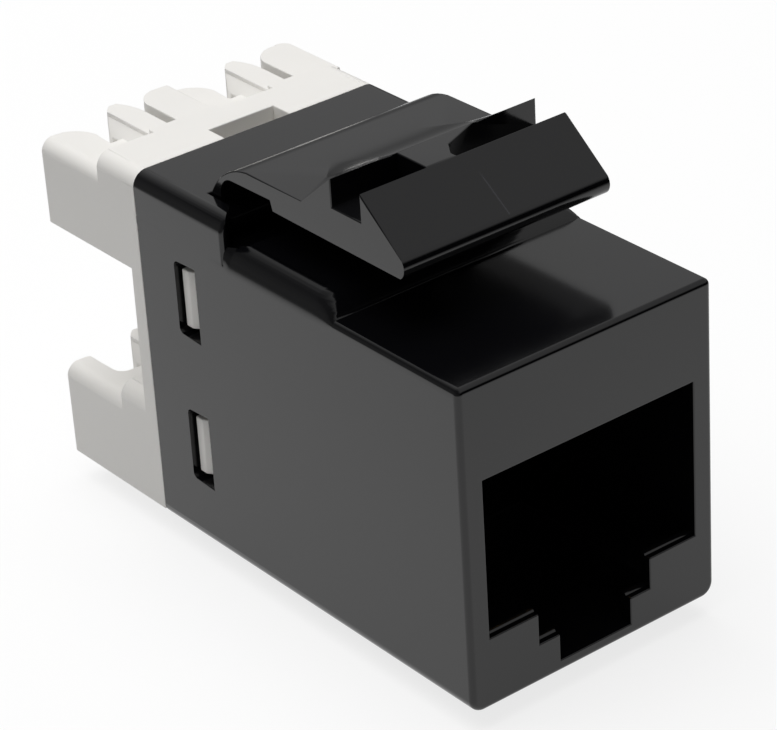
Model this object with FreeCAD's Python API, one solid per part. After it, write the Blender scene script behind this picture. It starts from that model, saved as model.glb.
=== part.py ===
"""Keystone jack: an eight-way modular socket with two rows of punch-down terminals behind it.

Lengths are in millimetres. While the pieces are built, y runs back from the front face,
z runs up from the underside of the housing and x is zero on the middle plane. Each piece is
then moved so that the origin is under the middle of the whole jack, at its lowest level.
"""
import FreeCAD, Part
import math
import os

# Housing, outside
housing_width = 14.5
housing_height = 16.4
housing_length = 23.3
rear_block_length = 6.85
rear_block_rise = 2.1
edge_round = 0.3
bottom_edge_round = 0.7
rear_edge_round = 0.8
step_edge_round = 0.2
front_edge_round = 0.28
side_wall = 1.1
floor_wall = 1.3

# Shoulder that stops the latch arm, along the top of the housing
shoulder_ahead = 7.95
shoulder_gap = 0.95
shoulder_ramp = 1.7
shoulder_rise = 0.9
ramp_via_length = 0.6
ramp_via_rise = 0.58
shoulder_heel = 0.3
shoulder_heel_slant = 0.25

# Fixed catch under the housing
catch_behind_nose = 3.15
catch_length = 2.6
catch_drop = 1.1
catch_width = 9.0

# Plug opening in the front face, from the release tab's slot upwards
tab_slot_floor = 0.62
tab_slot_width = 4.2
tab_slot_height = 1.38
guide_slot_width = 6.6
guide_slot_height = 1.6
port_side_lip = 0.05
port_height = 8.0
port_lip = 0.6
lip_undercut = 1.0
ledge_ridge = 0.1
ledge_ridge_back = 0.32
port_depth = 13.0
tab_channel_length = 8.4

# Side windows for the terminal block's snap tabs
window_back = 4.4
window_length = 1.6
window_height = 3.8
window_corner = 0.3
lower_window_floor = 3.4
upper_window_floor = 11.25

# Latch arm
arm_side_margin = 1.4
arm_rise = 2.0
arm_root_thickness = 0.82
arm_thickness = 1.32
arm_neck_thickness = 0.85
nose_ahead = 11.3
nose_bulge = 0.2
nose_undercut = 0.15
nose_level = 0.55
step_ahead = 2.15
arm_step_slope = 0.15
foot_ahead = 4.4
inner_foot_ahead = 3.25
middle_foot_ahead = 2.15
ramp_inner_half = 3.55
ramp_middle_half = 2.4
crest_ahead = 6.62
hook_top_ahead = 8.65
hook_rise = 1.85
hook_lip_rise = 1.0
notch_depth = 1.35
notch_width = 3.7
slant_front = -0.45
slant_rear = 0.05
slant_front_length = 1.7
slant_rear_length = 0.9
bend_ahead = 0.35
arm_bend_length = 1.65
arm_bend_drop = 0.6
inner_bend_radius = 0.9
arm_root_drop = 0.1
barrel_radius = 0.75
barrel_behind_step = 1.85
barrel_depth = 1.1
barrel_clearance = 0.05
arm_side_clearance = 0.1
pocket_flare = 1.0
pocket_flare_share = 0.55
pocket_flare_length = 0.45
pocket_straight = 0.9

# Contact wires and their carrier
contact_count = 8
contact_pitch = 1.02
contact_width = 0.45
contact_thickness = 0.35
contact_bend_radius = 0.8
contact_bend_front = 2.1
contact_slope = 20.0
contact_reach = 8.2
groove_clearance = 0.05
carrier_plate = 2.45
comb_front = 3.4
comb_side_wall = 0.65
comb_cover = 0.8
comb_depth = 0.5
bay_front = 1.6
assembly_clearance = 0.1
seat_clearance = 0.05

# Circuit board
board_thickness = 1.6
contact_hole = 0.72
blade_hole = 0.84

# White terminal block
block_web = 0.9
block_floor = 0.35
arm_length = 6.9
upper_arm_underside = 13.2
arm_spacing = 12.3
teeth_start = 3.0
high_teeth_start = 3.4
slot_floor = 3.7
low_slot_floor = 5.1
slot_width = 0.49
slot_pitch = 2.465
pair_margin = 0.22
high_drop = 0.25
low_drop = 0.9
low_tooth_round = 0.7
lead_in_width = 0.86
lead_in_round = 0.65
lead_in_depth = 1.1
tip_back = 0.35
tooth_corner_width = 1.25
tooth_corner_length = 1.9
high_corner_share = 0.7
high_corner_length = 1.25
outer_corner_share = 0.25
bevel_width = 0.58
bevel_step = 0.2
tip_width = 0.4
prong_point = 1.8
prong_bow_right = 0.12
prong_bow_left = 0.35
key_width = 3.8
key_length = 1.3
key_depth = 2.0
block_relief = 0.7
block_rim = 0.85
snap_inset = 0.15
snap_above_sill = 0.3
snap_under_lintel = 0.5
snap_height = 0.9
snap_lead = 0.35
snap_flat = 0.5
low_bore_top = 15.5
tall_bore_back = 3.7
rear_roof = 1.2

# Forked blades in the wire slots
blade_width = 1.9
blade_thickness = 0.3
blade_tip_back = 2.0
blade_slit_width = 0.28
blade_slit_length = 3.3
blade_mouth = 0.3
blade_neck_start = 2.0
blade_tail_width = 0.6
blade_clearance_z = 0.1
blade_clearance_x = 0.05
blade_above_underside = 1.4

# Levels and places that follow from the sizes above
half_width = housing_width / 2
rear_start = housing_length - rear_block_length
shoulder_start = rear_start - shoulder_ahead
window_start = housing_length - window_back
tall_bore_start = housing_length - tall_bore_back
rear_top = housing_height + rear_block_rise
guide_slot_floor = tab_slot_floor + tab_slot_height
port_floor = guide_slot_floor + guide_slot_height
port_top = port_floor + port_height
cavity_floor = port_floor - lip_undercut
bore_half = half_width - side_wall
port_half = bore_half - port_side_lip
bore_floor = floor_wall
tall_bore_top = rear_top - rear_roof
overlap = 0.5
edge_reach = 0.1

arm_half = half_width - arm_side_margin
arm_nose = rear_start - nose_ahead
arm_step = rear_start - step_ahead
ramp_foot = rear_start - foot_ahead
ramp_foot_inner = rear_start - inner_foot_ahead
ramp_foot_middle = rear_start - middle_foot_ahead
ramp_crest = rear_start - crest_ahead
hook_top_front = rear_start - hook_top_ahead
arm_bend_start = rear_start - bend_ahead
catch_start = arm_nose + catch_behind_nose
arm_top = rear_top + arm_rise
arm_under = arm_top - arm_thickness
hook_top = arm_top + hook_rise
barrel_y = rear_start + barrel_behind_step
barrel_z = rear_top - barrel_depth
neck_rear = barrel_y + barrel_radius
neck_front = neck_rear - arm_neck_thickness
seat_radius = barrel_radius + barrel_clearance
seat_half = arm_half + arm_side_clearance
pocket_floor = barrel_z - seat_radius

carrier_front = port_depth + seat_clearance
carrier_rear = carrier_front + carrier_plate
board_front = carrier_rear + seat_clearance
board_rear = board_front + board_thickness
block_front = board_rear + seat_clearance
inner_half = bore_half - assembly_clearance
inner_floor = bore_floor + assembly_clearance
inner_top = low_bore_top - assembly_clearance
contact_z = port_top + contact_bend_radius + comb_depth
comb_top = contact_z + contact_thickness / 2 + comb_cover
comb_floor = port_top + comb_depth + assembly_clearance
bow = 1 - math.sqrt(0.5)
comb_half = (contact_count - 1) / 2 * contact_pitch + contact_width / 2 + comb_side_wall

arm_back = housing_length + block_web
block_rear = arm_back + arm_length
teeth_front = housing_length + teeth_start
high_teeth_front = housing_length + high_teeth_start
slot_bottom = housing_length + slot_floor
low_slot_bottom = housing_length + low_slot_floor
lower_top = rear_top - arm_spacing
upper_blade_z = upper_arm_underside + blade_above_underside
lower_blade_z = upper_blade_z - arm_spacing
pair_pitch = half_width - pair_margin
tooth_edge = slot_pitch / 2 + slot_width / 2
prong_edge = slot_pitch / 2 - slot_width / 2

origin_shift = FreeCAD.Vector(0, -block_rear / 2, catch_drop)


def box(x_range, y_range, z_range):
    """A block between two values along each axis."""
    size = [high - low for low, high in (x_range, y_range, z_range)]
    corner = FreeCAD.Vector(x_range[0], y_range[0], z_range[0])
    return Part.makeBox(size[0], size[1], size[2], corner)


def middle_box(half, y_range, z_range):
    """A block that is symmetric about the middle plane."""
    return box((-half, half), y_range, z_range)


def outline(place, start, *steps):
    """A closed wire: a step is the next point, or a pair of points, via and end, for an arc."""
    edges = []
    here = start
    for step in steps + (start,):
        if isinstance(step[0], tuple):
            via, end = step
            edges.append(Part.Arc(place(*here), place(*via), place(*end)).toShape())
        elif step != here:
            end = step
            edges.append(Part.LineSegment(place(*here), place(*end)).toShape())
        here = end
    return Part.Wire(edges)


def side_prism(x_range, start, *steps):
    """An outline drawn in y and z, extruded along x."""
    wire = outline(lambda y, z: FreeCAD.Vector(x_range[0], y, z), start, *steps)
    return Part.Face(wire).extrude(FreeCAD.Vector(x_range[1] - x_range[0], 0, 0))


def plan_prism(z_range, start, *steps):
    """An outline drawn in x and y, extruded upwards."""
    wire = outline(lambda x, y: FreeCAD.Vector(x, y, z_range[0]), start, *steps)
    return Part.Face(wire).extrude(FreeCAD.Vector(0, 0, z_range[1] - z_range[0]))


def front_prism(y_range, start, *steps):
    """An outline drawn in x and z, extruded backwards."""
    wire = outline(lambda x, z: FreeCAD.Vector(x, y_range[0], z), start, *steps)
    return Part.Face(wire).extrude(FreeCAD.Vector(0, y_range[1] - y_range[0], 0))


def rod(radius, half, y, z):
    """A round bar along x, centred on the middle plane."""
    return Part.makeCylinder(radius, 2 * half, FreeCAD.Vector(-half, y, z), FreeCAD.Vector(1, 0, 0))


def straight_edges(shape, direction, wanted):
    """The edges along a direction whose middle point passes the test."""
    found = []
    for edge in shape.Edges:
        ends = [vertex.Point for vertex in edge.Vertexes]
        if len(ends) == 2 and edge.Curve.TypeId == "Part::GeomLine":
            along = (ends[1] - ends[0]).normalize()
            if abs(along.dot(direction)) > 0.999 and wanted((ends[0] + ends[1]) * 0.5):
                found.append(edge)
    return found


def fused(shapes):
    """All the shapes as one solid without seams."""
    return shapes[0].multiFuse(shapes[1:]).removeSplitter()


def cut(shape, tools):
    """The shape with every tool taken away."""
    return shape.cut(tools).removeSplitter()


X_AXIS = FreeCAD.Vector(1, 0, 0)
Y_AXIS = FreeCAD.Vector(0, 1, 0)
Z_AXIS = FreeCAD.Vector(0, 0, 1)


def housing_body():
    """The main block with its rounded edges."""
    body = middle_box(half_width, (0, housing_length), (0, housing_height))
    upper = straight_edges(body, Y_AXIS, lambda point: point.z > housing_height / 2)
    body = body.makeFillet(edge_round, upper)
    lower = straight_edges(body, Y_AXIS, lambda point: point.z < housing_height / 2)
    body = body.makeFillet(bottom_edge_round, lower)
    return body.makeFillet(front_edge_round, [edge for edge in body.Edges if lies_in_front(edge)])


def lies_in_front(edge):
    """True for an edge that lies in the front face."""
    return all(abs(vertex.Point.y) < 1e-6 for vertex in edge.Vertexes)


def rear_block():
    """The taller rear end, which takes the terminal block."""
    block = middle_box(half_width, (rear_start, housing_length), (housing_height / 2, rear_top))
    long_edges = straight_edges(block, Y_AXIS, lambda point: point.z > housing_height)
    block = block.makeFillet(rear_edge_round, long_edges)
    step_edges = straight_edges(block, Z_AXIS, lambda point: point.y < rear_start + overlap)
    return block.makeFillet(step_edge_round, step_edges)


def shoulder():
    """The rounded ridge under the latch arm: a ramp in front, and two heels back to the step."""
    low = housing_height - overlap
    top = housing_height + shoulder_rise
    end = rear_start - shoulder_gap
    heel = half_width - shoulder_heel
    sag = shoulder_rise * bow
    across = front_prism(
        (shoulder_start, rear_start),
        (-half_width, low),
        (-half_width, housing_height),
        ((-half_width + sag, top - sag), (-half_width + shoulder_rise, top)),
        (half_width - shoulder_rise, top),
        ((half_width - sag, top - sag), (half_width, housing_height)),
        (half_width, low),
    )
    ramp_middle = (shoulder_start + ramp_via_length, housing_height + ramp_via_rise)
    along = side_prism(
        (-half_width, half_width),
        (shoulder_start, low),
        (shoulder_start, housing_height),
        (ramp_middle, (shoulder_start + shoulder_ramp, top)),
        (rear_start, top),
        (rear_start, low),
    )
    above = plan_prism(
        (low, top),
        (-half_width, shoulder_start),
        (half_width, shoulder_start),
        (half_width, rear_start),
        (heel, rear_start),
        (heel - shoulder_heel_slant, end),
        (shoulder_heel_slant - heel, end),
        (-heel, rear_start),
        (-half_width, rear_start),
    )
    return across.common(along).common(above)


def catch():
    """The fixed lug under the housing that hooks behind the panel."""
    end = catch_start + catch_length
    return side_prism(
        (-catch_width / 2, catch_width / 2),
        (catch_start, overlap),
        (catch_start, -catch_drop),
        (catch_start + catch_length / 2, -catch_drop),
        (end, 0),
        (end, overlap),
    )


def port_opening():
    """The stepped plug opening through the front lip."""
    wide = port_half
    guide = guide_slot_width / 2
    tab = tab_slot_width / 2
    return front_prism(
        (-overlap, port_lip),
        (-tab, tab_slot_floor),
        (tab, tab_slot_floor),
        (tab, guide_slot_floor),
        (guide, guide_slot_floor),
        (guide, port_floor),
        (wide, port_floor),
        (wide, port_top),
        (-wide, port_top),
        (-wide, port_floor),
        (-guide, port_floor),
        (-guide, guide_slot_floor),
        (-tab, guide_slot_floor),
    )


def ledge_ridges():
    """The low sloped ridges on the ledges that the release tab and the plug ride over."""
    ridges = []
    for floor, inner, outer in (
        (port_floor, guide_slot_width / 2, port_half),
        (guide_slot_floor, tab_slot_width / 2, guide_slot_width / 2),
    ):
        for side in (-1, 1):
            ridges.append(side_prism(
                sorted((side * inner, side * outer)),
                (ledge_ridge_back, floor - ledge_ridge),
                (ledge_ridge_back, floor),
                (ledge_ridge_back + ledge_ridge, floor + ledge_ridge),
                (port_lip, floor + ledge_ridge),
                (port_lip, floor - ledge_ridge),
            ))
    return ridges


def arm_pocket():
    """The flared pocket and round seat that hold the root of the latch arm."""
    mouth = rear_start - overlap
    above = rear_top + overlap
    wide = seat_half + pocket_flare
    middle = seat_half + pocket_flare * pocket_flare_share
    turn = rear_start + pocket_flare_length
    straight = barrel_y - pocket_straight
    flare = plan_prism(
        (pocket_floor, above),
        (-wide, mouth),
        (wide, mouth),
        (wide, rear_start),
        ((middle, turn), (seat_half, straight)),
        (seat_half, barrel_y),
        (-seat_half, barrel_y),
        (-seat_half, straight),
        ((-middle, turn), (-wide, rear_start)),
    )
    slot = middle_box(seat_half, (barrel_y, barrel_y + seat_radius), (barrel_z, above))
    return [flare, slot, rod(seat_radius, seat_half, barrel_y, barrel_z)]


def housing():
    """The black moulded housing."""
    through = half_width + overlap
    windows = []
    for low in (lower_window_floor, upper_window_floor):
        window = middle_box(
            through, (window_start, window_start + window_length), (low, low + window_height)
        )
        corners = straight_edges(window, X_AXIS, lambda point: point.y > window_start)
        windows.append(window.makeFillet(window_corner, corners))
    hollows = [
        port_opening(),
        middle_box(bore_half, (port_lip, port_depth), (cavity_floor, port_top)),
        middle_box(
            guide_slot_width / 2,
            (port_lip, port_lip + tab_channel_length),
            (tab_slot_floor, cavity_floor),
        ),
        middle_box(
            comb_half + assembly_clearance,
            (bay_front, port_depth),
            (port_top - overlap, comb_top + assembly_clearance),
        ),
        middle_box(bore_half, (port_depth, tall_bore_start), (bore_floor, low_bore_top)),
        middle_box(
            bore_half, (tall_bore_start, housing_length + overlap), (bore_floor, tall_bore_top)
        ),
    ]
    solid = fused([housing_body(), rear_block(), shoulder(), catch()])
    return fused([cut(solid, hollows + windows + arm_pocket())] + ledge_ridges())


def ramp():
    """The ramp behind the hook: its foot runs further back towards the middle of the arm."""
    low = arm_top - overlap
    stations = [
        (-arm_half, ramp_foot),
        (-ramp_inner_half, ramp_foot_inner),
        (-ramp_middle_half, ramp_foot_middle),
        (ramp_middle_half, ramp_foot_middle),
        (ramp_inner_half, ramp_foot_inner),
        (arm_half, ramp_foot),
    ]
    profiles = []
    for x, foot in stations:
        points = [(ramp_crest, low), (ramp_crest, hook_top), (foot, arm_top), (foot, low)]
        corners = [FreeCAD.Vector(x, y, z) for y, z in points]
        profiles.append(Part.makePolygon(corners + corners[:1]))
    return Part.makeLoft(profiles, True, True)


def latch_arm():
    """The sprung latch: a thin root, a broad arm with two notches and a sloping hook."""
    root_under = arm_top - arm_root_thickness
    inner_sag = inner_bend_radius * bow
    bend_via = (arm_bend_start + arm_bend_length, arm_top - arm_bend_drop)
    nose_tip = (arm_nose - nose_bulge, arm_under + nose_level)
    nose_foot = (arm_nose + nose_undercut, arm_under)
    arm = side_prism(
        (-arm_half, arm_half),
        nose_foot,
        (arm_step, arm_under),
        (arm_step + arm_step_slope, root_under),
        (neck_front - inner_bend_radius, root_under),
        ((neck_front - inner_sag, root_under - inner_sag), (neck_front, root_under - inner_bend_radius)),
        (neck_front, barrel_z),
        (neck_rear, barrel_z),
        (neck_rear, rear_top - arm_root_drop),
        (bend_via, (arm_bend_start, arm_top)),
        (ramp_crest, arm_top),
        (ramp_crest, hook_top),
        (hook_top_front, hook_top),
        (arm_nose, arm_under + hook_lip_rise),
        (nose_tip, nose_foot),
    )
    arm = fused([arm, ramp(), rod(barrel_radius, arm_half, barrel_y, barrel_z)])
    floor = hook_top - notch_depth
    top = hook_top + overlap
    inner = arm_half - notch_width
    square_notch = box((-arm_half - overlap, -inner), (hook_top_front, ramp_crest), (floor, top))
    slanted_notch = plan_prism(
        (floor, top),
        (slant_front, hook_top_front),
        (arm_half + overlap, hook_top_front),
        (arm_half + overlap, ramp_crest),
        (inner, ramp_crest),
        (slant_rear, ramp_crest - slant_rear_length),
        (slant_front, ramp_crest - slant_front_length),
    )
    return cut(arm, [square_notch, slanted_notch])


def contact_places():
    """The x of each contact wire."""
    first = -(contact_count - 1) / 2 * contact_pitch
    return [first + number * contact_pitch for number in range(contact_count)]


def contact_carrier():
    """The insulating carrier: a plate behind the plug and a comb over the wires."""
    plate = middle_box(inner_half, (carrier_front, carrier_rear), (inner_floor, inner_top))
    comb = middle_box(comb_half, (comb_front, carrier_front + overlap), (comb_floor, comb_top))
    half = contact_width / 2 + groove_clearance
    roof = contact_z + contact_thickness / 2 + groove_clearance
    y_range = (comb_front - overlap, carrier_rear + overlap)
    grooves = [
        box((x - half, x + half), y_range, (comb_floor - overlap, roof)) for x in contact_places()
    ]
    return cut(fused([plate, comb]), grooves)


def contact(x):
    """One spring wire: a straight run under the comb, a bend and a sloping beam to the plug."""
    half = contact_thickness / 2
    outer = contact_bend_radius + half
    inner = contact_bend_radius - half
    centre_y = contact_bend_front + outer
    centre_z = contact_z - contact_bend_radius
    slope = math.radians(contact_slope)
    end_angle = 1.5 * math.pi - slope
    via_angle = (0.5 * math.pi + end_angle) / 2
    reach = (contact_reach * math.cos(slope), -contact_reach * math.sin(slope))

    def on_bend(radius, angle):
        return (centre_y + radius * math.cos(angle), centre_z + radius * math.sin(angle))

    outer_end = on_bend(outer, end_angle)
    inner_end = on_bend(inner, end_angle)
    tail = board_rear - seat_clearance
    return side_prism(
        (x - contact_width / 2, x + contact_width / 2),
        (tail, contact_z + half),
        (centre_y, contact_z + half),
        (on_bend(outer, via_angle), outer_end),
        (outer_end[0] + reach[0], outer_end[1] + reach[1]),
        (inner_end[0] + reach[0], inner_end[1] + reach[1]),
        inner_end,
        (on_bend(inner, via_angle), (centre_y, contact_z - half)),
        (tail, contact_z - half),
    )


def slot_places():
    """The x of each wire slot: two pairs of slots."""
    places = []
    for pair in (-1, 1):
        for side in (-1, 1):
            places.append(pair * pair_pitch / 2 + side * slot_pitch / 2)
    return places


def circuit_board():
    """The board that joins the contact wires to the blades."""
    y_range = (board_front, board_rear)
    board = middle_box(inner_half, y_range, (inner_floor, inner_top))
    holes = [(x, contact_z, contact_hole) for x in contact_places()]
    for level in (lower_blade_z, upper_blade_z):
        holes += [(x, level, blade_hole) for x in slot_places()]
    drills = [
        Part.makeCylinder(size / 2, board_thickness, FreeCAD.Vector(x, board_front, z), Y_AXIS)
        for x, z, size in holes
    ]
    return cut(board, drills)


def low_tooth(left, right, z_range):
    """A low tooth, rounded towards the wire slot on its right and along its outer top edge."""
    rear = block_rear
    tooth = plan_prism(
        z_range,
        (left, teeth_front),
        (right, teeth_front),
        (right, rear - tooth_corner_length),
        (
            (right - tooth_corner_width * bow, rear - tooth_corner_length * bow),
            (right - tooth_corner_width, rear),
        ),
        (left, rear),
    )
    outer = straight_edges(
        tooth, Y_AXIS, lambda point: point.x < edge_reach - half_width and point.z > z_range[1] - edge_reach
    )
    return tooth.makeFillet(low_tooth_round, outer) if outer else tooth


def high_tooth(left, right, z_range):
    """A tall tooth, rounded towards the wire slot on its left."""
    rear = block_rear - tip_back
    corner = rear - high_corner_length
    corner_width = (right - left) * high_corner_share
    tooth = plan_prism(
        z_range,
        (left, teeth_front),
        (right, teeth_front),
        (right, rear),
        (left + corner_width, rear),
        (
            (left + corner_width * bow, corner + high_corner_length * (1 - bow)),
            (left, corner),
        ),
    )
    if right < half_width:
        return tooth
    side = half_width - edge_reach
    outer = straight_edges(tooth, Z_AXIS, lambda point: point.x > side and point.y > corner)
    return tooth.makeFillet((right - left) * outer_corner_share, outer)


def prong(middle, z_range):
    """The pointed prong between the two wires of a pair, bevelled on its left."""
    rear = block_rear - tip_back
    left = middle - prong_edge
    right = middle + prong_edge
    tip = middle + bevel_width / 2
    half_tip = tip_width / 2
    body = plan_prism(
        z_range,
        (left, teeth_front),
        (right, teeth_front),
        (right, rear - prong_point),
        ((right - prong_bow_right, rear - prong_point / 2), (tip + half_tip, rear)),
        (tip - half_tip, rear),
        ((left + prong_bow_left, rear - prong_point / 2), (left, rear - prong_point)),
    )
    top = z_range[1]
    bevel_foot = top - bevel_step - bevel_width
    bevel = front_prism(
        (teeth_front, block_rear + overlap),
        (left + bevel_width, top + overlap),
        (left + bevel_width, top - bevel_step),
        (left - overlap, bevel_foot - overlap),
        (left - overlap, top + overlap),
    )
    return body.cut(bevel)


def lead_in(middle, z_range):
    """The rounded funnel beside a pair's first slot, where its wire comes in from the cable."""
    edge = middle - tooth_edge
    outer = edge - lead_in_width
    end = block_rear + overlap
    return plan_prism(
        z_range,
        (edge + slot_width / 2, low_slot_bottom),
        (edge + slot_width / 2, end),
        (outer, end),
        (outer, low_slot_bottom + lead_in_round),
        (
            (outer + lead_in_round * bow, low_slot_bottom + lead_in_round * bow),
            (outer + lead_in_round, low_slot_bottom),
        ),
    )


def terminal_arm(top, under):
    """One arm of the block: a flush root, then teeth with two pairs of slots between them."""
    root = middle_box(half_width, (housing_length, teeth_front), (under, top))
    long_edges = straight_edges(root, Y_AXIS, lambda point: point.z > top - overlap)
    pieces = [root.makeFillet(rear_edge_round, long_edges)]
    low = (under, top - low_drop)
    high = (under, top - high_drop)
    for middle in (-pair_pitch / 2, pair_pitch / 2):
        left = -half_width if middle < 0 else 0
        right = half_width if middle > 0 else 0
        pieces.append(low_tooth(left, middle - tooth_edge, low))
        pieces.append(prong(middle, high))
        pieces.append(high_tooth(middle + tooth_edge, right, high))
        ledge = (middle - prong_edge + bevel_width, min(right, half_width - rear_edge_round))
        pieces.append(box(ledge, (teeth_front - overlap, high_teeth_front), (under, top)))
        low_gap = (middle - tooth_edge - overlap, middle - prong_edge + overlap)
        high_gap = (middle + prong_edge - overlap, middle + tooth_edge + overlap)
        pieces.append(box(low_gap, (teeth_front - overlap, low_slot_bottom), low))
        pieces.append(box(high_gap, (teeth_front - overlap, slot_bottom), high))
    return pieces


def snap_tabs():
    """Wedges that spring out into the housing's side windows."""
    start = window_start + snap_inset
    end = window_start + window_length - snap_inset
    tabs = []
    for floor in (lower_window_floor, upper_window_floor):
        z_range = (floor + snap_above_sill, floor + window_height - snap_under_lintel)
        for side in (-1, 1):
            tabs.append(plan_prism(
                z_range,
                (side * (inner_half - overlap), start),
                (side * (inner_half + snap_lead), start),
                (side * (inner_half + snap_height), end - snap_flat),
                (side * (inner_half + snap_height), end),
                (side * (inner_half - overlap), end),
            ))
    return tabs


def terminal_block():
    """The white block: a plug that fills the rear of the housing, a web and two toothed arms."""
    tall_start = tall_bore_start + assembly_clearance
    tall_top = tall_bore_top - assembly_clearance
    pieces = [
        middle_box(inner_half, (block_front, arm_back), (inner_floor, inner_top)),
        middle_box(inner_half, (tall_start, arm_back), (inner_floor, tall_top)),
        middle_box(half_width, (housing_length, arm_back), (block_floor, rear_top - rear_edge_round)),
    ]
    pieces += terminal_arm(rear_top, upper_arm_underside)
    pieces += terminal_arm(lower_top, block_floor)
    pieces += snap_tabs()
    lower_tooth_top = lower_top - low_drop
    lead_ins = []
    for middle in (-pair_pitch / 2, pair_pitch / 2):
        upper = (upper_arm_underside - overlap, upper_arm_underside + lead_in_depth)
        lead_ins.append(lead_in(middle, upper))
        lead_ins.append(lead_in(middle, (lower_tooth_top - lead_in_depth, lower_top + overlap)))
    relief = middle_box(
        inner_half - block_rim,
        (block_front - overlap, block_front + block_relief),
        (inner_floor + block_rim, inner_top - block_rim),
    )
    key = middle_box(
        key_width / 2,
        (housing_length, housing_length + key_length),
        (rear_top - key_depth, rear_top + overlap),
    )
    pockets = []
    half = blade_width / 2 + blade_clearance_x
    rise = blade_thickness / 2 + blade_clearance_z
    end = block_rear - blade_tip_back + blade_clearance_x
    for level in (lower_blade_z, upper_blade_z):
        z_range = (level - rise, level + rise)
        for x in slot_places():
            pockets.append(box((x - half, x + half), (block_front - overlap, end), z_range))
    return cut(fused(pieces), [relief, key] + lead_ins + pockets)


def blade(x, level):
    """One insulation-displacement blade: a tail in the board and a fork in the wire slot."""
    half = blade_width / 2
    slit = blade_slit_width / 2
    tail = blade_tail_width / 2
    tip = block_rear - blade_tip_back
    shoulder_y = block_front + blade_neck_start
    slit_end = tip - blade_slit_length
    tail_end = board_front + seat_clearance
    low = level - blade_thickness / 2
    return plan_prism(
        (low, low + blade_thickness),
        (x - tail, tail_end),
        (x + tail, tail_end),
        (x + tail, shoulder_y),
        (x + half, shoulder_y),
        (x + half, tip),
        (x + slit + blade_mouth, tip),
        (x + slit, tip - blade_mouth),
        (x + slit, slit_end),
        ((x, slit_end - slit), (x - slit, slit_end)),
        (x - slit, tip - blade_mouth),
        (x - slit - blade_mouth, tip),
        (x - half, tip),
        (x - half, shoulder_y),
        (x - tail, shoulder_y),
    )


def all_nodes():
    """Every piece of the jack by the name of its node."""
    nodes = {
        "housing": housing(),
        "latch_arm": latch_arm(),
        "contact_carrier": contact_carrier(),
        "circuit_board": circuit_board(),
        "terminal_block": terminal_block(),
    }
    for number, x in enumerate(contact_places(), start=1):
        nodes[f"contact_{number}"] = contact(x)
    number = 0
    for level in (upper_blade_z, lower_blade_z):
        for x in slot_places():
            number += 1
            nodes[f"blade_{number}"] = blade(x, level)
    return nodes


os.makedirs("parts", exist_ok=True)
for name, shape in all_nodes().items():
    if len(shape.Solids) != 1 or not shape.isValid():
        print("check", name, "solids", len(shape.Solids), "valid", shape.isValid())
    placed = shape.Solids[0].translated(origin_shift)
    placed.exportStep(f"parts/{name}.step")
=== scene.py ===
"""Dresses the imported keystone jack: mouldings with broken edges, finishes, studio and camera.

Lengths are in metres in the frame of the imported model, except fields that end in _mm.
"""

import logging
import math
from dataclasses import dataclass, field, replace
from enum import Enum
from typing import Any

import bmesh
import bpy
from mathutils import Matrix, Vector
from mathutils.bvhtree import BVHTree


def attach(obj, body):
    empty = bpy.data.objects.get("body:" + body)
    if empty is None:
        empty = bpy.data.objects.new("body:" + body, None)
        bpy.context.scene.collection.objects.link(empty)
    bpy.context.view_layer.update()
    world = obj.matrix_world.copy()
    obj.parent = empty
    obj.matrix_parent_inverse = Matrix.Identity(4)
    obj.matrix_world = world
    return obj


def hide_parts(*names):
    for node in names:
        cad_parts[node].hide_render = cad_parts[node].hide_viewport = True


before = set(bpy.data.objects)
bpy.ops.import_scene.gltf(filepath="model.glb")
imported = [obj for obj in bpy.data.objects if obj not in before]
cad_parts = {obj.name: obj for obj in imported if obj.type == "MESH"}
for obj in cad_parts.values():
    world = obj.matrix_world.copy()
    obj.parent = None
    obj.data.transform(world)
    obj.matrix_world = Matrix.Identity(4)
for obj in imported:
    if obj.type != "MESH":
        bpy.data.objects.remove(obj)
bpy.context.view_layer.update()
PHOTO_WIDTH = 777
PHOTO_HEIGHT = 730
MM = 0.001
# A wave texture at scale 1 runs through this many radians in a metre.
WAVE_RADIANS = 20
UP = Vector((0, 0, 1))
REARWARD = Vector((0, 1, 0))

log = logging.getLogger("keystone_jack")


class Body(Enum):
    """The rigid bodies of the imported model."""

    JACK = "jack"
    LATCH = "latch"


class Slot(Enum):
    """Material slot names that each new piece carries; nothing reads them, and each piece's finish
    comes from its own material.
    """

    HOUSING = "housing_plastic"
    BLOCK = "block_plastic"


def linear(hex_colour: str) -> tuple[float, float, float, float]:
    """Turns an sRGB hex colour into linear values for a shader.

    Args:
        hex_colour: six hex digits after a hash sign.

    Returns:
        Red, green, blue and an alpha of one.
    """
    values = [int(hex_colour[start:start + 2], 16) / 255 for start in (1, 3, 5)]
    red, green, blue = [
        value / 12.92 if value <= 0.04045 else ((value + 0.055) / 1.055) ** 2.4
        for value in values
    ]
    return red, green, blue, 1.0


def darker(hex_colour: str, share: float) -> tuple[float, float, float, float]:
    """Turns an sRGB hex colour into linear values with a share of the light taken away.

    Args:
        hex_colour: six hex digits after a hash sign.
        share: the part of the light that goes.

    Returns:
        Red, green, blue and an alpha of one.
    """
    red, green, blue, alpha = linear(hex_colour)
    kept = 1 - share
    return red * kept, green * kept, blue * kept, alpha


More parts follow.
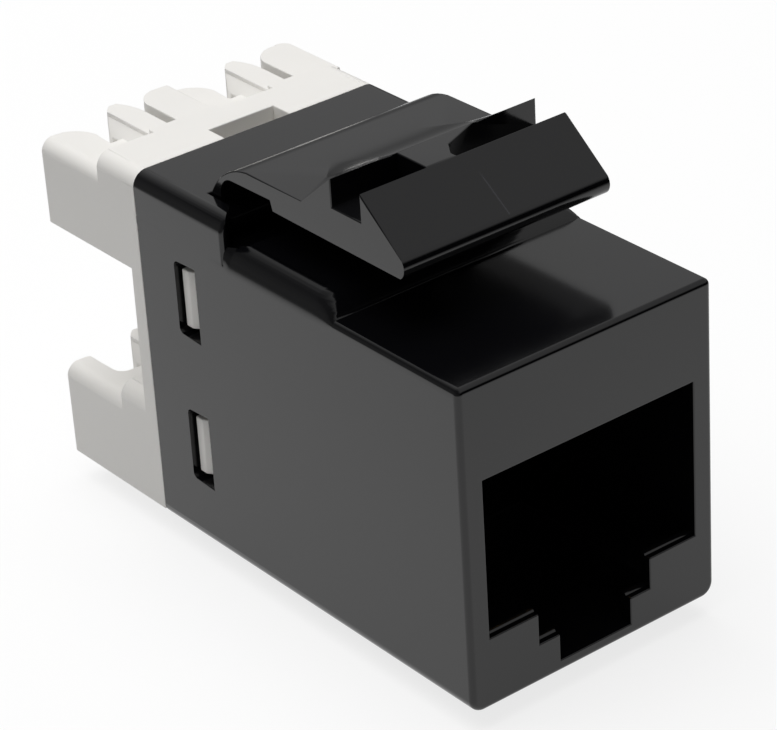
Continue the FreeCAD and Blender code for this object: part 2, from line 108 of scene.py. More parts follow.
def add_node(
    tree: bpy.types.NodeTree,
    kind: str,
    settings: dict[Any, Any] | None = None,
    links: dict[Any, bpy.types.NodeSocket] | None = None,
) -> bpy.types.Node:
    """Adds one shader node with its settings and links.

    Args:
        tree: the node tree that gets it.
        kind: Blender's name for the type of node.
        settings: values by attribute name, input name or input number.
        links: feeding sockets by input name or input number.

    Returns:
        The new node.
    """
    node = tree.nodes.new(kind)
    for key, value in (settings or {}).items():
        if isinstance(key, str) and hasattr(node, key):
            setattr(node, key, value)
        else:
            node.inputs[key].default_value = value
    for key, source in (links or {}).items():
        tree.links.new(source, node.inputs[key])
    return node


def new_tree(name: str) -> tuple[bpy.types.Material, bpy.types.NodeTree]:
    """Makes an empty node material.

    Args:
        name: the material's name.

    Returns:
        The material and its node tree.
    """
    material = bpy.data.materials.new(name)
    material.use_nodes = True
    material.node_tree.nodes.clear()
    return material, material.node_tree


@dataclass(frozen=True)
class KnitLine:
    """A faint seam down the hook's slope, where two streams of melt met in the mould.

    It starts at across_mm and rear_mm, fades in over fade_mm, drifts sideways by slant as it
    comes forward, and ends at the height above_mm.
    """

    colour: str = "#26262A"
    across_mm: float = 0.08
    slant: float = -0.076
    rear_mm: float = -8.52
    fade_mm: float = 0.4
    width_mm: float = 0.05
    above_mm: float = 21.3

    def mask(self, tree: bpy.types.NodeTree, place: bpy.types.NodeSocket) -> bpy.types.NodeSocket:
        """Adds the nodes that are one on the seam and nought off it.

        Args:
            tree: the material's node tree.
            place: the point in Object coordinates.

        Returns:
            The socket that carries the seam.
        """
        along = add_node(tree, "ShaderNodeSeparateXYZ", {}, {"Vector": place})
        sheared = add_node(
            tree,
            "ShaderNodeVectorMath",
            {"operation": "DOT_PRODUCT", 1: (1.0, -self.slant, 0.0)},
            {0: place},
        )
        middle = (self.across_mm - self.slant * self.rear_mm) * MM
        beside = add_node(
            tree,
            "ShaderNodeMath",
            {"operation": "SUBTRACT", 1: middle},
            {0: sheared.outputs["Value"]},
        )
        off = add_node(
            tree, "ShaderNodeMath", {"operation": "ABSOLUTE"}, {0: beside.outputs["Value"]}
        )
        limits = (
            (off.outputs["Value"], self.width_mm / 2, self.width_mm),
            (along.outputs["Y"], self.rear_mm - self.fade_mm, self.rear_mm),
            (along.outputs["Z"], self.above_mm, self.above_mm - self.width_mm),
        )
        seam = None
        for value, whole, none in limits:
            share = add_node(
                tree,
                "ShaderNodeMapRange",
                {"From Min": none * MM, "From Max": whole * MM, "To Min": 0.0, "To Max": 1.0},
                {"Value": value},
            ).outputs["Result"]
            if seam is not None:
                share = add_node(
                    tree, "ShaderNodeMath", {"operation": "MULTIPLY"}, {0: seam, 1: share}
                ).outputs["Value"]
            seam = share
        return seam


@dataclass(frozen=True)
class MouldedPlastic:
    """Injection-moulded plastic: spark-eroded grain, faint flow marks and uneven gloss."""

    name: str
    colour: str
    roughness: float
    ior: float
    grain_mm: float
    grain_height_mm: float
    grain_detail: float = 2.0
    grain_roughness: float = 0.5
    flow_mm: float = 4.0
    flow_detail: float = 3.0
    flow_roughness: float = 0.45
    flow_distortion: float = 0.6
    gloss_spread: float = 0.06
    shade_spread: float = 0.06
    subsurface: float = 0.0
    subsurface_mm: tuple[float, float, float] = (0.5, 0.5, 0.45)
    knit: KnitLine | None = None

    def make(self) -> bpy.types.Material:
        """Builds the node material.

        Returns:
            The material.
        """
        material, tree = new_tree(self.name)
        place = add_node(tree, "ShaderNodeTexCoord").outputs["Object"]
        grain = add_node(
            tree,
            "ShaderNodeTexNoise",
            {
                "Scale": 1 / (self.grain_mm * MM),
                "Detail": self.grain_detail,
                "Roughness": self.grain_roughness,
            },
            {"Vector": place},
        )
        flow = add_node(
            tree,
            "ShaderNodeTexNoise",
            {
                "Scale": 1 / (self.flow_mm * MM),
                "Detail": self.flow_detail,
                "Roughness": self.flow_roughness,
                "Distortion": self.flow_distortion,
            },
            {"Vector": place},
        )
        shade = add_node(
            tree,
            "ShaderNodeMix",
            {
                "data_type": "RGBA",
                6: darker(self.colour, self.shade_spread),
                7: linear(self.colour),
            },
            {0: flow.outputs["Fac"]},
        ).outputs[2]
        if self.knit:
            shade = add_node(
                tree,
                "ShaderNodeMix",
                {"data_type": "RGBA", 7: linear(self.knit.colour)},
                {0: self.knit.mask(tree, place), 6: shade},
            ).outputs[2]
        gloss = add_node(
            tree,
            "ShaderNodeMapRange",
            {
                "To Min": self.roughness - self.gloss_spread,
                "To Max": self.roughness + self.gloss_spread,
            },
            {"Value": flow.outputs["Fac"]},
        )
        bump = add_node(
            tree,
            "ShaderNodeBump",
            {"Strength": 1.0, "Distance": self.grain_height_mm * MM},
            {"Height": grain.outputs["Fac"]},
        )
        shader = add_node(
            tree,
            "ShaderNodeBsdfPrincipled",
            {
                "IOR": self.ior,
                "Subsurface Weight": self.subsurface,
                "Subsurface Radius": tuple(v * MM for v in self.subsurface_mm),
                "Subsurface Scale": 1.0,
            },
            {
                "Base Color": shade,
                "Roughness": gloss.outputs["Result"],
                "Normal": bump.outputs["Normal"],
            },
        )
        add_node(tree, "ShaderNodeOutputMaterial", {}, {"Surface": shader.outputs["BSDF"]})
        return material


@dataclass(frozen=True)
class PlatedMetal:
    """Plated strip or wire: fine drawing marks along one axis under a thin bright plating."""

    name: str
    colour: str
    roughness: float
    mark_mm: float
    mark_height_mm: float
    stretch: tuple[float, float, float]
    mark_detail: float = 3.0
    mark_roughness: float = 0.6
    shade_spread: float = 0.12
    smoother: float = 0.07
    rougher: float = 0.1

    def make(self) -> bpy.types.Material:
        """Builds the node material.

        Returns:
            The material.
        """
        material, tree = new_tree(self.name)
        place = add_node(tree, "ShaderNodeTexCoord").outputs["Object"]
        along = add_node(tree, "ShaderNodeMapping", {"Scale": self.stretch}, {"Vector": place})
        marks = add_node(
            tree,
            "ShaderNodeTexNoise",
            {
                "Scale": 1 / (self.mark_mm * MM),
                "Detail": self.mark_detail,
                "Roughness": self.mark_roughness,
            },
            {"Vector": along.outputs["Vector"]},
        )
        tint = add_node(
            tree,
            "ShaderNodeMix",
            {
                "data_type": "RGBA",
                6: darker(self.colour, self.shade_spread),
                7: linear(self.colour),
            },
            {0: marks.outputs["Fac"]},
        )
        gloss = add_node(
            tree,
            "ShaderNodeMapRange",
            {"To Min": self.roughness - self.smoother, "To Max": self.roughness + self.rougher},
            {"Value": marks.outputs["Fac"]},
        )
        bump = add_node(
            tree,
            "ShaderNodeBump",
            {"Strength": 1.0, "Distance": self.mark_height_mm * MM},
            {"Height": marks.outputs["Fac"]},
        )
        shader = add_node(
            tree,
            "ShaderNodeBsdfPrincipled",
            {"Metallic": 1.0},
            {
                "Base Color": tint.outputs[2],
                "Roughness": gloss.outputs["Result"],
                "Normal": bump.outputs["Normal"],
            },
        )
        add_node(tree, "ShaderNodeOutputMaterial", {}, {"Surface": shader.outputs["BSDF"]})
        return material


@dataclass(frozen=True)
class SolderMask:
    """Glossy solder mask over woven glass epoxy, whose weave shows faintly through it."""

    name: str
    colour: str
    weave_mm: float
    weave_height_mm: float
    roughness: float = 0.28
    ior: float = 1.52
    shade_spread: float = 0.2

    def make(self) -> bpy.types.Material:
        """Builds the node material.

        Returns:
            The material.
        """
        material, tree = new_tree(self.name)
        place = add_node(tree, "ShaderNodeTexCoord").outputs["Object"]
        scale = math.tau / WAVE_RADIANS / (self.weave_mm * MM)
        warp, weft = [
            add_node(
                tree,
                "ShaderNodeTexWave",
                {"bands_direction": axis, "Scale": scale},
                {"Vector": place},
            )
            for axis in "XZ"
        ]
        weave = add_node(
            tree,
            "ShaderNodeMath",
            {"operation": "MULTIPLY"},
            {0: warp.outputs["Fac"], 1: weft.outputs["Fac"]},
        )
        tint = add_node(
            tree,
            "ShaderNodeMix",
            {
                "data_type": "RGBA",
                6: darker(self.colour, self.shade_spread),
                7: linear(self.colour),
            },
            {0: weave.outputs["Value"]},
        )
        bump = add_node(
            tree,
            "ShaderNodeBump",
            {"Strength": 1.0, "Distance": self.weave_height_mm * MM},
            {"Height": weave.outputs["Value"]},
        )
        shader = add_node(
            tree,
            "ShaderNodeBsdfPrincipled",
            {"Roughness": self.roughness, "IOR": self.ior},
            {"Base Color": tint.outputs[2], "Normal": bump.outputs["Normal"]},
        )
        add_node(tree, "ShaderNodeOutputMaterial", {}, {"Surface": shader.outputs["BSDF"]})
        return material


# Moulding grain (really about 0.03 mm) and drawing marks (about 0.01 mm) are finer than a pixel
# of the render, so both are drawn as coarse as they need to be to show.
#
# Black polycarbonate from a fine mould: it mirrors pale surroundings with slightly soft edges.
BLACK_POLYCARBONATE = MouldedPlastic(
    "black_polycarbonate_moulded",
    "#08080A",
    roughness=0.13,
    ior=1.5,
    grain_mm=0.16,
    grain_height_mm=0.0006,
    gloss_spread=0.03,
)
# The same black resin on the latch arm, with a faint paler seam down the hook's slope.
BLACK_KNITTED = replace(
    BLACK_POLYCARBONATE, name="black_polycarbonate_knit_line", knit=KnitLine()
)
# White polycarbonate: bright satin that lets a little light into its thin edges.
WHITE_POLYCARBONATE = MouldedPlastic(
    "white_polycarbonate_moulded",
    "#F1EFEB",
    roughness=0.42,
    ior=1.58,
    grain_mm=0.2,
    grain_height_mm=0.0015,
    shade_spread=0.025,
    subsurface=0.08,
)
# Glass-filled polyester: duller and rougher than the housing.
CARRIER_POLYESTER = MouldedPlastic(
    "black_glass_filled_polyester_moulded",
    "#17171A",
    roughness=0.5,
    ior=1.57,
    grain_mm=0.12,
    grain_height_mm=0.003,
)
# Solder mask on glass epoxy: deep green and glossy, with a fine weave under it.
GREEN_SOLDER_MASK = SolderMask(
    "green_solder_mask_glass_epoxy", "#1D5A35", weave_mm=0.2513, weave_height_mm=0.004
)
# Gold plating on drawn phosphor bronze: warm mirror with lengthwise marks.
GOLD_PLATED_BRONZE = PlatedMetal(
    "gold_plated_phosphor_bronze_drawn",
    "#F0C56E",
    roughness=0.2,
    mark_mm=0.05,
    mark_height_mm=0.0004,
    stretch=(1.0, 0.06, 0.5),
)
# Tin plating on stamped bronze: soft grey metal with faint lengthwise marks.
TIN_PLATED_BRONZE = PlatedMetal(
    "tin_plated_bronze_stamped",
    "#C8C6C1",
    roughness=0.34,
    mark_mm=0.08,
    mark_height_mm=0.0006,
    stretch=(1.0, 0.15, 1.0),
)


@dataclass
class Moulding:
    """A moulded piece that stands for a CAD node, with its sharp edges broken.

    An edge between faces over broad_mm wide is broken from slight_deg on, and one between faces
    over narrow_mm wide from sharp_deg on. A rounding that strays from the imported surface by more
    than stray_share of its radius is left out. A bend under crease_deg shades smoothly, or under
    sharp_deg in a hollow.
    """

    node: str
    body: Body
    slot: Slot
    finish: MouldedPlastic
    edge_radius_mm: float = 0.07
    segments: int = 2
    sharp_deg: float = 32.0
    slight_deg: float = 8.0
    crease_deg: float = 50.0
    narrow_mm: float = 0.2
    broad_mm: float = 0.6
    stray_share: float = 0.6
    merge_mm: float = 0.0005
    flat_deg: float = 0.6
    search_radii: float = 4.0
    attempts: int = 12

    def plain_copy(self) -> bmesh.types.BMesh:
        """Copies the node's mesh with its loose triangles joined and its flat faces whole.

        Returns:
            The joined mesh.
        """
        work = bmesh.new()
        work.from_mesh(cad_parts[self.node].data)
        bmesh.ops.remove_doubles(work, verts=work.verts, dist=self.merge_mm * MM)
        bmesh.ops.dissolve_limit(
            work,
            angle_limit=math.radians(self.flat_deg),
            verts=work.verts,
            edges=work.edges,
            use_dissolve_boundaries=False,
        )
        return work

    def break_edges(self, plain: bmesh.types.BMesh) -> bmesh.types.BMesh:
        """Rounds the sharp edges, and leaves those sharp whose rounding has no room.

        Args:
            plain: the joined mesh, which isn't changed.

        Returns:
            A new mesh with the broken edges.
        """
        radius = self.edge_radius_mm * MM
        surface = BVHTree.FromBMesh(plain)
        crowded: set[int] = set()
        for attempt in range(self.attempts):
            trial = plain.copy()
            trial.edges.ensure_lookup_table()
            chosen = [
                edge for edge in trial.edges if self.is_sharp(edge) and edge.index not in crowded
            ]
            bmesh.ops.bevel(
                trial,
                geom=chosen,
                offset=radius,
                offset_type="OFFSET",
                affect="EDGES",
                segments=self.segments,
                profile=0.5,
                material=-1,
                clamp_overlap=False,
            )
            stray = [
                vert
                for vert in trial.verts
                if surface.find_nearest(vert.co)[3] > radius * self.stray_share
            ]
            if not stray or attempt == self.attempts - 1:
                break
            crowded |= self.edges_near(plain, surface, [vert.co.copy() for vert in stray])
            trial.free()
        for vert in stray:
            vert.co = surface.find_nearest(vert.co)[0]
        for edge in trial.edges:
            edge.smooth = not self.is_crease(edge)
        log.info(
            "%s: %d edges broken, %d left sharp, %d points settled, try %d",
            self.node,
            len(chosen),
            len(crowded),
            len(stray),
            attempt + 1,
        )
        return trial

    def is_sharp(self, edge: bmesh.types.BMEdge) -> bool:
        """Tells whether an edge is broken: a sharp one with room, or a bend of broad faces.

        Args:
            edge: an edge of the joined mesh.

        Returns:
            True where the edge gets a rounding.
        """
        if not edge.is_manifold or not edge.is_convex:
            return False
        angle = edge.calc_face_angle()
        width = min(
            face.calc_area() / max(side.calc_length() for side in face.edges)
            for face in edge.link_faces
        )
        if width > self.broad_mm * MM:
            return angle > math.radians(self.slight_deg)
        return width > self.narrow_mm * MM and angle > math.radians(self.sharp_deg)

    def is_crease(self, edge: bmesh.types.BMEdge) -> bool:
        """True where two faces meet so steeply that the shading keeps the edge crisp."""
        limit = self.crease_deg if edge.is_convex else self.sharp_deg
        return edge.is_manifold and edge.calc_face_angle() > math.radians(limit)

    def edges_near(
        self, plain: bmesh.types.BMesh, surface: BVHTree, points: list[Vector]
    ) -> set[int]:
        """Finds the edges round the faces that lie nearest to some points.

        Args:
            plain: the joined mesh.
            surface: its search tree.
            points: places where a rounding went astray.

        Returns:
            Numbers of the edges that meet those places.
        """
        plain.faces.ensure_lookup_table()
        reach = self.edge_radius_mm * MM * self.search_radii
        found: set[int] = set()
        for point in points:
            place, _, number, _ = surface.find_nearest(point)
            corners = plain.faces[number].verts
            nearest = min(corners, key=lambda vert: (vert.co - place).length)
            near = [vert for vert in corners if (vert.co - place).length < reach]
            for vert in near + [nearest]:
                found |= {edge.index for edge in vert.link_edges}
        return found

    def build(self) -> bpy.types.Object:
        """Copies the node's mesh, breaks its sharp edges and dresses it.

        Returns:
            The dressed piece, which rides on its body in the node's place.
        """
        plain = self.plain_copy()
        work = self.break_edges(plain)
        plain.free()
        mesh = bpy.data.meshes.new(f"{self.node}_moulding")
        work.to_mesh(mesh)
        work.free()
        mesh.materials.append(self.finish.make())
        mesh.shade_smooth()
        piece = bpy.data.objects.new(f"{self.node}_moulding", mesh)
        bpy.context.scene.collection.objects.link(piece)
        normals = piece.modifiers.new("flat_faces", "WEIGHTED_NORMAL")
        normals.mode = "FACE_AREA_WITH_ANGLE"
        normals.keep_sharp = True
        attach(piece, self.body.value)
        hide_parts(self.node)
        log.info("%s: %d faces", piece.name, len(mesh.polygons))
        return piece


@dataclass
class HousingMoulding(Moulding):
    """The housing, whose shoulder flows into the side walls in a broad soft rounding.

    The CAD rounds the shoulder by cad_round_mm. Here the rounding grows along the ramp from
    deck_round_mm to soft_reach_mm, and its foot drops down the wall by soft_drop_mm.
    """

    wall_mm: float = 7.25
    deck_mm: float = 17.5
    crown_mm: float = 18.4
    cad_round_mm: float = 0.9
    deck_round_mm: float = 0.3
    soft_reach_mm: float = 1.25
    soft_drop_mm: float = 0.2
    ramp_foot_mm: float = -7.05
    ramp_end_mm: float = -5.3
    step_mm: float = 0.85
    step_fade_mm: float = 0.4
    probe_mm: float = 5.5
    chord_mm: float = 0.02
    facing: float = 0.05
    upright: float = 0.999
    cut_tolerance: float = 1e-8
    bands_mm: tuple[float, ...] = (17.0, 17.09, 17.18, 17.27, 17.36, 17.44)
    slices_mm: tuple[float, ...] = (-6.95, -6.8, -6.6, -6.35, -6.0, -5.5, 0.45, 0.55, 0.65, 0.75)

    def plain_copy(self) -> bmesh.types.BMesh:
        """Copies the housing with its shoulder's flanks eased into the walls.

        Returns:
            The joined and eased mesh.
        """
        work = super().plain_copy()
        surface = BVHTree.FromBMesh(work)
        for height in self.bands_mm:
            self.slice_flanks(work, UP * (height * MM), UP)
        for place in self.slices_mm:
            self.slice_flanks(work, REARWARD * (place * MM), REARWARD)
        for vert in work.verts:
            self.ease(vert, surface)
        bmesh.ops.remove_doubles(work, verts=work.verts, dist=self.merge_mm * MM)
        return work

    def slice_flanks(self, work: bmesh.types.BMesh, place: Vector, normal: Vector) -> None:
        """Cuts the upper side walls and the flanks along a plane.

        Args:
            work: the housing's mesh.
            place: a point of the plane.
            normal: the plane's normal.
        """
        low = (self.deck_mm - self.deck_round_mm - self.soft_drop_mm) * MM
        high = self.crown_mm * MM
        front = (self.ramp_foot_mm - self.deck_round_mm) * MM
        rear = (self.step_mm + self.deck_round_mm) * MM
        inboard = (self.wall_mm - self.soft_reach_mm) * MM
        level_cut = normal == UP
        faces = []
        for face in work.faces:
            centre = face.calc_center_median()
            tops = max(vert.co.z for vert in face.verts)
            outside = abs(face.normal.x) > self.facing and abs(centre.x) > inboard
            sideways = outside and abs(face.normal.y) < self.facing
            beside = sideways and tops > low + self.merge_mm * MM
            within = front < centre.y < rear and low < centre.z < high
            if beside and (within or level_cut and abs(face.normal.x) > self.upright):
                faces.append(face)
        parts = {part for face in faces for part in (*face.verts, *face.edges, face)}
        bmesh.ops.bisect_plane(
            work, geom=list(parts), dist=self.cut_tolerance, plane_co=place, plane_no=normal
        )

    def ease(self, vert: bmesh.types.BMVert, surface: BVHTree) -> None:
        """Moves a point of a flank inwards on to the broad rounding.

        Args:
            vert: any point of the housing.
            surface: search tree of the housing before the change.
        """
        across, along, height = (value / MM for value in vert.co)
        out = abs(across)
        beside = self.ramp_foot_mm - self.chord_mm < along < self.step_mm
        inside = beside and height < self.crown_mm + self.chord_mm
        if not inside or self.depth_in(out, height) > self.chord_mm:
            return
        top = self.top_over(along, surface)
        share = min(1.0, max(0.0, (top - self.deck_mm) / (self.crown_mm - self.deck_mm)))
        reach = self.deck_round_mm + share * (self.soft_reach_mm - self.deck_round_mm)
        foot = self.deck_mm - self.deck_round_mm - share * self.soft_drop_mm
        if height <= foot:
            return
        rise = min(1.0, (height - foot) / (top - foot))
        soft = self.wall_mm - reach * (1 - math.sqrt(1 - rise * rise))
        weight = min(1.0, (self.step_mm - along) / self.step_fade_mm)
        vert.co.x = math.copysign(out + weight * (min(soft, out) - out), across) * MM

    def depth_in(self, across: float, height: float) -> float:
        """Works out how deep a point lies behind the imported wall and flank.

        Args:
            across: distance from the middle plane in millimetres.
            height: height above the floor in millimetres.

        Returns:
            The depth in millimetres.
        """
        inboard = across - (self.wall_mm - self.cad_round_mm)
        if height <= self.deck_mm or inboard < 0:
            return self.wall_mm - across
        return self.cad_round_mm - math.hypot(inboard, height - self.deck_mm)

    def top_over(self, along: float, surface: BVHTree) -> float:
        """Finds how high the shoulder's ramp or crown is at a place along the jack.

        Args:
            along: the place in millimetres.
            surface: search tree of the housing before the change.

        Returns:
            The height in millimetres.
        """
        rearward = min(along + self.merge_mm, self.ramp_end_mm)
        above = Vector((self.probe_mm, rearward, 2 * self.crown_mm)) * MM
        return surface.ray_cast(above, -UP)[0].z / MM


@dataclass
class Shell:
    """The outside of the jack: black housing, its latch arm and the white terminal block."""

    housing: Moulding = field(
        default_factory=lambda: HousingMoulding(
            "housing", Body.JACK, Slot.HOUSING, BLACK_POLYCARBONATE
        )
    )
    latch_arm: Moulding = field(
        default_factory=lambda: Moulding("latch_arm", Body.LATCH, Slot.HOUSING, BLACK_KNITTED)
    )
    terminal_block: Moulding = field(
        default_factory=lambda: Moulding(
            "terminal_block", Body.JACK, Slot.BLOCK, WHITE_POLYCARBONATE
        )
    )

    def build(self) -> None:
        """Builds the three mouldings."""
        for moulding in (self.housing, self.latch_arm, self.terminal_block):
            moulding.build()


@dataclass
class Works:
    """What is inside: carrier, board, contact wires and blades, all as the CAD has them."""

    contacts: int = 8
    blades: int = 8

    def build(self) -> None:
        """Gives each inner node its finish."""
        self.dress(["contact_carrier"], CARRIER_POLYESTER.make())
        self.dress(["circuit_board"], GREEN_SOLDER_MASK.make())
        for stem, count, finish in (
            ("contact", self.contacts, GOLD_PLATED_BRONZE),
            ("blade", self.blades, TIN_PLATED_BRONZE),
        ):
            self.dress([f"{stem}_{number}" for number in range(1, count + 1)], finish.make())

    def dress(self, nodes: list[str], material: bpy.types.Material) -> None:
        """Sets one material on several CAD nodes.

        Args:
            nodes: names of the nodes.
            material: the finish they get.
        """
        for name in nodes:
            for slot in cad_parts[name].material_slots:
                slot.material = material
            log.info("%s: %s", name, material.name)


@dataclass
class Studio:
    """A sheet of white paper, one broad soft light above and an even fill all round.

    Reflections have their own levels. The paper glows by mirror_share near the jack and is dim
    far off. The surroundings run from mirror_dark on the left to mirror_bright on the right, are
    dim at the horizon and low in front, and glow faintly low on the left. Each span gives the
    parts of a direction between which a level changes.
    """

    floor_half: float = 0.12
    floor_colour: str = "#FFFFFF"
    bounce_colour: str = "#B0B0B0"
    camera_share: float = 0.78
    mirror_share: float = 0.7
    mirror_reach: tuple[float, float] = (0.05, 0.1)
    mirror_far_level: float = 0.2
    fill: float = 0.24
    mirror_dark: float = 0.1
    mirror_bright: float = 0.6
    sideways_span: tuple[float, float] = (-0.42, 0.15)
    horizon_share: float = 0.24
    horizon_span: tuple[float, float] = (0.0, 0.4)
    front_span: tuple[float, float] = (0.0, -0.5)
    front_lift_span: tuple[float, float] = (0.3, 0.52)
    glow: float = 0.15
    glow_span: tuple[float, float] = (-0.1, -0.5)
    glow_height_span: tuple[float, float] = (0.55, 0.1)
    light_place: tuple[float, float, float] = (-0.05, 0.08, 0.45)
    light_size: float = 0.5
    light_watts: float = 2.15

    def build(self) -> None:
        """Builds the floor, the light and the world."""
        self.add_floor()
        self.add_top_light()
        self.set_world()

    def add_floor(self) -> None:
        """Adds the floor under the jack."""
        work = bmesh.new()
        bmesh.ops.create_grid(work, x_segments=1, y_segments=1, size=self.floor_half)
        mesh = bpy.data.meshes.new("studio_floor")
        work.to_mesh(mesh)
        work.free()
        material, tree = new_tree("studio_paper")
        seen = add_node(tree, "ShaderNodeLightPath")
        either = add_node(
            tree,
            "ShaderNodeMath",
            {"operation": "MAXIMUM"},
            {0: seen.outputs["Is Camera Ray"], 1: seen.outputs["Is Glossy Ray"]},
        )
        place = add_node(tree, "ShaderNodeTexCoord").outputs["Object"]
        away = add_node(tree, "ShaderNodeVectorMath", {"operation": "LENGTH"}, {0: place})
        near, far = self.mirror_reach
        fade, dim = [
            add_node(
                tree,
                "ShaderNodeMapRange",
                {"From Min": near, "From Max": far, "To Min": first, "To Max": last},
                {"Value": away.outputs["Value"]},
            )
            for first, last in ((self.mirror_share, 1.0), (1.0, self.mirror_far_level))
        ]
        level = add_node(
            tree,
            "ShaderNodeMapRange",
            {"To Min": 1.0},
            {"Value": seen.outputs["Is Glossy Ray"], "To Max": dim.outputs["Result"]},
        )
        mirrored = add_node(
            tree,
            "ShaderNodeMath",
            {"operation": "MULTIPLY"},
            {0: seen.outputs["Is Glossy Ray"], 1: fade.outputs["Result"]},
        )
        share = add_node(
            tree,
            "ShaderNodeMath",
            {"operation": "MULTIPLY_ADD", 1: self.camera_share},
            {0: seen.outputs["Is Camera Ray"], 2: mirrored.outputs["Value"]},
        )
        colour = add_node(
            tree,
            "ShaderNodeMix",
            {
                "data_type": "RGBA",
                6: linear(self.bounce_colour),
                7: linear(self.floor_colour),
            },
            {0: either.outputs["Value"]},
        )
        paper = add_node(tree, "ShaderNodeBsdfDiffuse", {}, {"Color": colour.outputs[2]})
        white = add_node(
            tree,
            "ShaderNodeEmission",
            {"Color": linear(self.floor_colour)},
            {"Strength": level.outputs["Result"]},
        )
        mixed = add_node(
            tree,
            "ShaderNodeMixShader",
            {},
            {0: share.outputs["Value"], 1: paper.outputs["BSDF"], 2: white.outputs["Emission"]},
        )
        add_node(tree, "ShaderNodeOutputMaterial", {}, {"Surface": mixed.outputs["Shader"]})
        mesh.materials.append(material)
        floor = bpy.data.objects.new("studio_floor", mesh)
        bpy.context.scene.collection.objects.link(floor)

    def add_top_light(self) -> None:
        """Adds the broad light above."""
        light = bpy.data.lights.new("top_light", "AREA")
        light.shape = "SQUARE"
        light.size = self.light_size
        light.energy = self.light_watts
        lamp = bpy.data.objects.new("top_light", light)
        lamp.visible_glossy = False
        lamp.location = self.light_place
        lamp.rotation_euler = (-lamp.location).to_track_quat("-Z", "Y").to_euler()
        bpy.context.scene.collection.objects.link(lamp)

    def set_world(self) -> None:
        """Makes the world white to the eye, uneven in reflections and an even fill elsewhere."""
        world = bpy.data.worlds.new("studio_world")
        bpy.context.scene.world = world
        world.use_nodes = True
        tree = world.node_tree
        tree.nodes.clear()
        seen = add_node(tree, "ShaderNodeLightPath")
        place = add_node(tree, "ShaderNodeTexCoord").outputs["Generated"]
        direction = add_node(tree, "ShaderNodeSeparateXYZ", {}, {"Vector": place})
        ramps = {
            "sideways": ("X", self.sideways_span, self.mirror_dark, self.mirror_bright),
            "height": ("Z", self.horizon_span, self.horizon_share, 1.0),
            "ahead": ("Y", self.front_span, 0.0, 1.0),
            "lift": ("Z", self.front_lift_span, 0.0, 1.0),
            "leftward": ("X", self.glow_span, 0.0, self.glow),
            "low": ("Z", self.glow_height_span, 0.0, 1.0),
        }
        share = {
            name: add_node(
                tree,
                "ShaderNodeMapRange",
                {"From Min": span[0], "From Max": span[1], "To Min": first, "To Max": last},
                {"Value": direction.outputs[axis]},
            ).outputs["Result"]
            for name, (axis, span, first, last) in ramps.items()
        }
        in_front = add_node(
            tree,
            "ShaderNodeMapRange",
            {"To Min": 1.0},
            {"Value": share["ahead"], "To Max": share["lift"]},
        )
        round_about = add_node(
            tree,
            "ShaderNodeMath",
            {"operation": "MULTIPLY"},
            {0: share["sideways"], 1: share["height"]},
        )
        surround = add_node(
            tree,
            "ShaderNodeMath",
            {"operation": "MULTIPLY"},
            {0: round_about.outputs["Value"], 1: in_front.outputs["Result"]},
        )
        everywhere = add_node(
            tree,
            "ShaderNodeMath",
            {"operation": "MULTIPLY_ADD"},
            {0: share["leftward"], 1: share["low"], 2: surround.outputs["Value"]},
        )
        mirrored = add_node(
            tree,
            "ShaderNodeMapRange",
            {"To Min": self.fill},
            {"Value": seen.outputs["Is Glossy Ray"], "To Max": everywhere.outputs["Value"]},
        )
        direct = add_node(
            tree,
            "ShaderNodeMath",
            {"operation": "MAXIMUM"},
            {0: seen.outputs["Is Camera Ray"], 1: seen.outputs["Is Transmission Ray"]},
        )
        strength = add_node(
            tree,
            "ShaderNodeMath",
            {"operation": "MAXIMUM"},
            {0: direct.outputs["Value"], 1: mirrored.outputs["Result"]},
        )
        background = add_node(
            tree,
            "ShaderNodeBackground",
            {"Color": linear(self.floor_colour)},
            {"Strength": strength.outputs["Value"]},
        )
        add_node(
            tree, "ShaderNodeOutputWorld", {}, {"Surface": background.outputs["Background"]}
        )


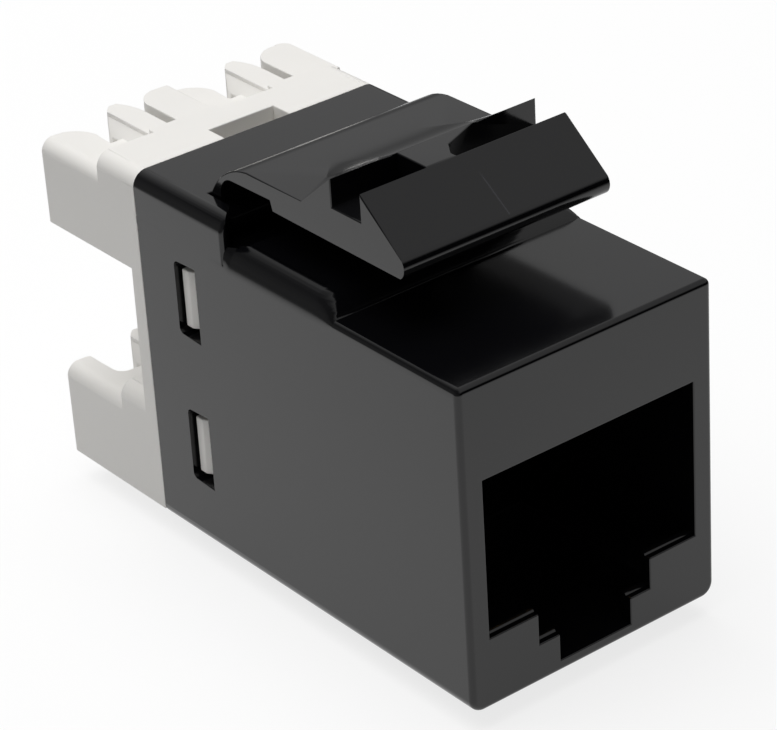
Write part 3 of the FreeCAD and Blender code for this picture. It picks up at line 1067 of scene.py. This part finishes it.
@dataclass
class PhotoCamera:
    """The photograph's camera, worked out from the jack's own edges."""

    azimuth_deg: float = -36.81
    elevation_deg: float = 28.98
    roll_deg: float = -3.66
    aim: tuple[float, float, float] = (0.0, -3.55e-3, 9.1e-3)
    aside: float = 1.82e-3
    above: float = -1.86e-3
    distance: float = 154.87e-3
    focal_px: float = 3341.6
    centre_px: tuple[float, float] = (380.5, 363.8)
    sensor_mm: float = 36.0
    clip_start: float = 0.005

    def build(self) -> bpy.types.Object:
        """Adds the camera and makes it the scene's.

        Returns:
            The camera object.
        """
        data = bpy.data.cameras.new("photo_camera")
        data.sensor_fit = "HORIZONTAL"
        data.sensor_width = self.sensor_mm
        data.lens = self.focal_px * self.sensor_mm / PHOTO_WIDTH
        data.shift_x = (PHOTO_WIDTH / 2 - self.centre_px[0]) / PHOTO_WIDTH
        data.shift_y = (self.centre_px[1] - PHOTO_HEIGHT / 2) / PHOTO_WIDTH
        data.clip_start = self.clip_start
        camera = bpy.data.objects.new("photo_camera", data)
        camera.matrix_world = self.place()
        bpy.context.scene.collection.objects.link(camera)
        bpy.context.scene.camera = camera
        return camera

    def place(self) -> Matrix:
        """Works out where the camera stands and how it is turned.

        Returns:
            The camera's matrix.
        """
        azimuth = math.radians(self.azimuth_deg)
        elevation = math.radians(self.elevation_deg)
        back = Vector((
            math.sin(azimuth) * math.cos(elevation),
            -math.cos(azimuth) * math.cos(elevation),
            math.sin(elevation),
        ))
        right = UP.cross(back).normalized()
        up = back.cross(right)
        roll = Matrix.Rotation(math.radians(self.roll_deg), 3, "Z")
        turn = Matrix((right, up, back)).transposed() @ roll
        offset = turn @ Vector((-self.aside, -self.above, self.distance))
        return Matrix.Translation(Vector(self.aim) + offset) @ turn.to_4x4()


def main() -> None:
    """Builds the pieces in order, then the studio and the camera."""
    logging.basicConfig(level=logging.INFO, format="%(message)s")
    Shell().build()
    Works().build()
    Studio().build()
    PhotoCamera().build()
    bpy.context.scene.view_settings.view_transform = "Standard"


if __name__ == "__main__":
    main()
